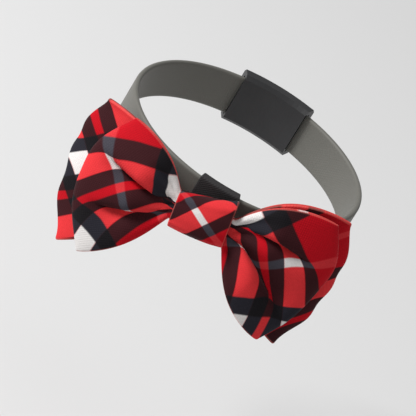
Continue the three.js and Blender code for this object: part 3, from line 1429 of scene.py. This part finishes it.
@dataclass
class CollarBand:
    """The flat band of webbing, open inside the clasp."""

    outer_radius: float
    half_width: float
    end_angle: float
    thickness: float = 1.9 * MM
    angle_steps: int = 420
    height_steps: int = 26
    rim_steps: int = 5

    def build(self) -> bpy.types.Object:
        """Builds the band: a rounded flat section carried round the neck, its ends closed.

        Returns:
            The band's piece.
        """
        radius = self.outer_radius - self.thickness / 2
        angles = np.linspace(-self.end_angle, self.end_angle, self.angle_steps)
        half = self.half_width - self.thickness / 2
        heights = np.linspace(-half, half, self.height_steps)
        angle, height = np.meshgrid(angles, heights, indexing="ij")
        middle = ring_points(angle, np.full_like(angle, radius), height)
        uv = np.stack([angle * radius, height], axis=-1)
        sections, section_uv, rim = wall_section(
            middle, uv, self.thickness / 2, self.rim_steps, False
        )
        ends = [sections[index].mean(axis=0) for index in (0, -1)]
        first = np.broadcast_to(ends[0], sections[:1].shape)
        last = np.broadcast_to(ends[1], sections[:1].shape)
        capped = np.concatenate([first, sections, last])
        capped_uv = np.concatenate([section_uv[:1], section_uv, section_uv[-1:]])
        capped_rim = np.concatenate([rim[:1], rim, rim[-1:]])
        piece = grid_mesh("collar_webbing", capped, capped_uv, capped_rim, (False, True))
        merge_poles(piece)
        return piece

    def dress(self, piece: bpy.types.Object, material: bpy.types.Material) -> None:
        """Args:
            piece: The band's piece.
            material: The webbing.
        """
        dress_cloth(piece, material, "collar_band")


def merge_poles(piece: bpy.types.Object) -> None:
    """Closes the ends of a grid whose first and last rows are each one point.

    Args:
        piece: The piece, whose mesh is changed.
    """
    shape = bmesh.new()
    shape.from_mesh(piece.data)
    bmesh.ops.remove_doubles(shape, verts=shape.verts, dist=1e-7)
    bmesh.ops.recalc_face_normals(shape, faces=shape.faces)
    shape.to_mesh(piece.data)
    shape.free()


@dataclass
class BandKeeper:
    """The tape loop that holds the bow on the band."""

    outer_radius: float
    band_thickness: float
    half_width: float
    length: float = 14.0 * MM
    wall: float = 0.8 * MM
    gap: float = 0.32 * MM
    angle_steps: int = 40
    round_steps: int = 160
    rim_steps: int = 4
    squareness: float = 14.0
    flat: tuple[float, float] = (0.014, 0.044)

    def build(self) -> bpy.types.Object:
        """Builds the loop: a squarish ring in the band's section, carried along the band.

        Returns:
            The loop's piece.
        """
        middle_radius = self.outer_radius - self.band_thickness / 2
        half_deep = self.band_thickness / 2 + self.gap + self.wall / 2
        half_high = self.half_width + self.gap + self.wall / 2
        half_angle = self.length / 2 / middle_radius
        angles = np.linspace(-half_angle, half_angle, self.angle_steps)
        turn, angle = round_grid(self.round_steps, angles)
        power = 2 / self.squareness
        deep = signed_power(np.cos(turn), power) * half_deep
        high = signed_power(np.sin(turn), power) * half_high
        middle = ring_points(angle, middle_radius + deep, high)
        uv = np.stack([angle * middle_radius, high + deep], axis=-1)
        sections, section_uv, rim = wall_section(middle, uv, self.wall / 2, self.rim_steps, True)
        return grid_mesh("keeper_tape_loop", sections, section_uv, rim, (True, True))

    def dress(self, piece: bpy.types.Object, material: bpy.types.Material) -> None:
        dress_cloth(piece, material, "band_keeper")


@dataclass
class Clasp:
    """The plain clasp at the nape, which is the frame's own solid."""

    name: str = "clasp"

    def dress(self, material: bpy.types.Material) -> bpy.types.Object:
        """Gives the solid its plastic.

        Args:
            material: The plastic.

        Returns:
            The clasp's object.
        """
        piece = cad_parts[self.name]
        piece.data.materials.clear()
        piece.data.materials.append(material)
        return piece


# ---------------------------------------------------------------- studio


@dataclass
class Studio:
    """A pale floor, soft lights and the camera."""

    elevation: float = math.radians(27)
    roll: float = math.radians(31.5)
    distance: float = 1.2
    lens: float = 300.0
    aim: tuple[float, float, float] = (0.0, -0.019, -0.0135)
    floor_drop: float = 0.11
    floor_half: float = 6.0
    floor_grey: float = 0.74
    room_light: float = 0.36

    def floor(self) -> None:
        """A wide pale floor below the collar."""
        half = self.floor_half
        corners = [(-half, -half), (half, -half), (half, half), (-half, half)]
        mesh = bpy.data.meshes.new("floor")
        mesh.from_pydata([(x, y, -self.floor_drop) for x, y in corners], [], [(0, 1, 2, 3)])
        floor = add_to_scene("floor", mesh)
        material, shader = blank_material("pale_floor")
        shader.inputs["Base Color"].default_value = (*[self.floor_grey] * 3, 1.0)
        shader.inputs["Roughness"].default_value = 0.95
        mesh.materials.append(material)

    def axes(self) -> tuple[Vector, Vector, Vector]:
        """The camera's right, up and back directions.

        Returns:
            The level directions at that elevation, turned by the roll.
        """
        back = Vector((0.0, -math.cos(self.elevation), math.sin(self.elevation)))
        level_up = Vector((0.0, math.sin(self.elevation), math.cos(self.elevation)))
        level_right = Vector((1.0, 0.0, 0.0))
        right = math.cos(self.roll) * level_right + math.sin(self.roll) * level_up
        up = math.cos(self.roll) * level_up - math.sin(self.roll) * level_right
        return right, up, back

    def camera(self) -> None:
        """The camera, rolled as the wearer's neck leans."""
        right, up, back = self.axes()
        data = bpy.data.cameras.new("camera")
        data.lens = self.lens
        data.clip_end = 50.0
        camera = add_to_scene("camera", data)
        camera.location = Vector(self.aim) + back * self.distance
        turn = np.array([right, up, back]).T
        camera.rotation_mode = "QUATERNION"
        camera.rotation_quaternion = Matrix(turn.tolist()).to_quaternion()
        bpy.context.scene.camera = camera

    def area(
        self, name: str, toward: tuple[float, float, float], size: float, power: float
    ) -> None:
        """A square soft light.

        Args:
            name: Its name.
            toward: Where it stands by the camera's right, up and back, in metres.
            size: Its side, in metres.
            power: Its power, in watts.
        """
        right, up, back = self.axes()
        place = right * toward[0] + up * toward[1] + back * toward[2]
        data = bpy.data.lights.new(name, "AREA")
        data.size = size
        data.energy = power
        light = add_to_scene(name, data)
        light.location = place
        light.rotation_mode = "QUATERNION"
        light.rotation_quaternion = place.to_track_quat("Z", "Y")

    def build(self) -> None:
        """Builds the floor, the lights, the surroundings and the camera."""
        self.floor()
        self.area("key_light", (-0.75, 1.35, 0.75), 0.6, 34.0)
        self.area("fill_light", (1.3, 0.2, 0.9), 1.2, 3.0)
        world = bpy.data.worlds.new("pale_room")
        world.use_nodes = True
        background = world.node_tree.nodes["Background"]
        background.inputs[0].default_value = (1.0, 1.0, 1.0, 1.0)
        background.inputs[1].default_value = self.room_light
        bpy.context.scene.world = world
        bpy.context.scene.view_settings.view_transform = "Standard"
        self.camera()


def log_piece(piece: bpy.types.Object) -> None:
    """Logs a finished piece."""
    LOG.info("%s: %d faces", piece.name, len(piece.data.polygons))


def main() -> None:
    """Builds the collar, piece by piece, and the studio round it."""
    logging.basicConfig(level=logging.INFO, format="%(name)s: %(message)s")
    Studio().build()
    groups = Groups()
    plaid = PlaidCloth().material(groups)
    band_low, band_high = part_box("collar_band")
    _, clasp_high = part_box("clasp")
    outer_radius = band_high.x
    half_width = (band_high.z - band_low.z) / 2
    bow = BowFrame(outer_radius)
    for layer in (back_bow(), front_bow()):
        piece = layer.build(bow)
        layer.dress(piece, plaid)
        log_piece(piece)
    knot = Knot()
    piece = knot.build(bow)
    knot.dress(piece, plaid)
    log_piece(piece)
    end_angle = math.pi - (clasp_high.x - BAND_END_DEPTH) / outer_radius
    band = CollarBand(outer_radius, half_width, end_angle)
    piece = band.build()
    band.dress(piece, Webbing(half_width=half_width).material(groups))
    log_piece(piece)
    keeper = BandKeeper(outer_radius, BAND_THICKNESS, half_width)
    piece = keeper.build()
    keeper.dress(piece, Tape().material(groups))
    log_piece(piece)
    piece = Clasp().dress(MouldedPlastic().material(groups))
    log_piece(piece)


if __name__ == "__main__":
    main()
